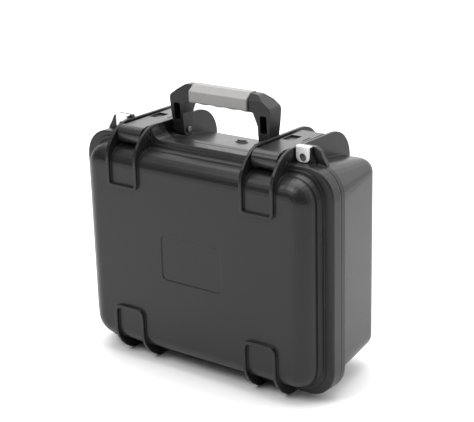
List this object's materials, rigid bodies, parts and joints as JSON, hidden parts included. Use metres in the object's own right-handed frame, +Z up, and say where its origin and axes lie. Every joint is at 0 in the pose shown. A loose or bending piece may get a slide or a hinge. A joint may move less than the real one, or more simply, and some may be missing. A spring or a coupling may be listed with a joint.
{
  "type": "drone carrying case",
  "caption": "Hard moulded carrying case with hinged lid, lever latches, folding grip handle, padlock eyes, pressure valve and cut foam.",
  "frame": {"origin": "on the ground, under the middle of the case's bounding box", "axes": "+X to the case's right seen from the lid, +Y from the lid towards the base, +Z up towards the handle; the case stands on its hinge side"},
  "size_m": [0.336, 0.1502, 0.3185],
  "materials": {
    "moulded_black": "fine-grained black moulded plastic",
    "latch_black": "satin black moulded plastic",
    "handle_black": "satin black moulded plastic",
    "grip_grey": "light grey soft rubber",
    "seal_black": "matt black rubber",
    "foam_charcoal": "charcoal open-cell foam",
    "stainless_steel": "brushed stainless steel",
    "pin_steel": "plain steel"
  },
  "bodies": {
    "base": {"base_shell": "moulded_black", "base_foam_insert": "foam_charcoal", "base_foam_pad": "foam_charcoal", "hinge_pin_left": "pin_steel", "hinge_pin_right": "pin_steel", "handle_pin_left": "pin_steel", "handle_pin_right": "pin_steel", "valve_body": "latch_black", "valve_knob": "handle_black", "valve_nut": "latch_black"},
    "lid": {"lid_shell": "moulded_black", "lid_seal": "seal_black", "lid_foam": "foam_charcoal", "latch_pin_left": "pin_steel", "latch_pin_right": "pin_steel", "padlock_plate_left": "stainless_steel", "padlock_plate_right": "stainless_steel"},
    "latch_left": {"latch_lever_left": "latch_black"},
    "latch_right": {"latch_lever_right": "latch_black"},
    "handle": {"handle_frame": "handle_black", "handle_grip": "grip_grey"}
  },
  "joints": [
    {"name": "lid_hinge", "type": "hinge", "parent": "base", "child": "lid", "pos_m": [0, -0.03135, 0.006], "axis": [1, 0, 0], "range_deg": [0, 105]},
    {"name": "latch_left_hinge", "type": "hinge", "parent": "lid", "child": "latch_left", "pos_m": [-0.09175, -0.04935, 0.263], "axis": [1, 0, 0], "range_deg": [0, 120]},
    {"name": "latch_right_hinge", "type": "hinge", "parent": "lid", "child": "latch_right", "pos_m": [0.09175, -0.04935, 0.263], "axis": [1, 0, 0], "range_deg": [0, 120]},
    {"name": "handle_hinge", "type": "hinge", "parent": "base", "child": "handle", "pos_m": [0, -0.00335, 0.2645], "axis": [-1, 0, 0], "range_deg": [0, 80]}
  ]
}
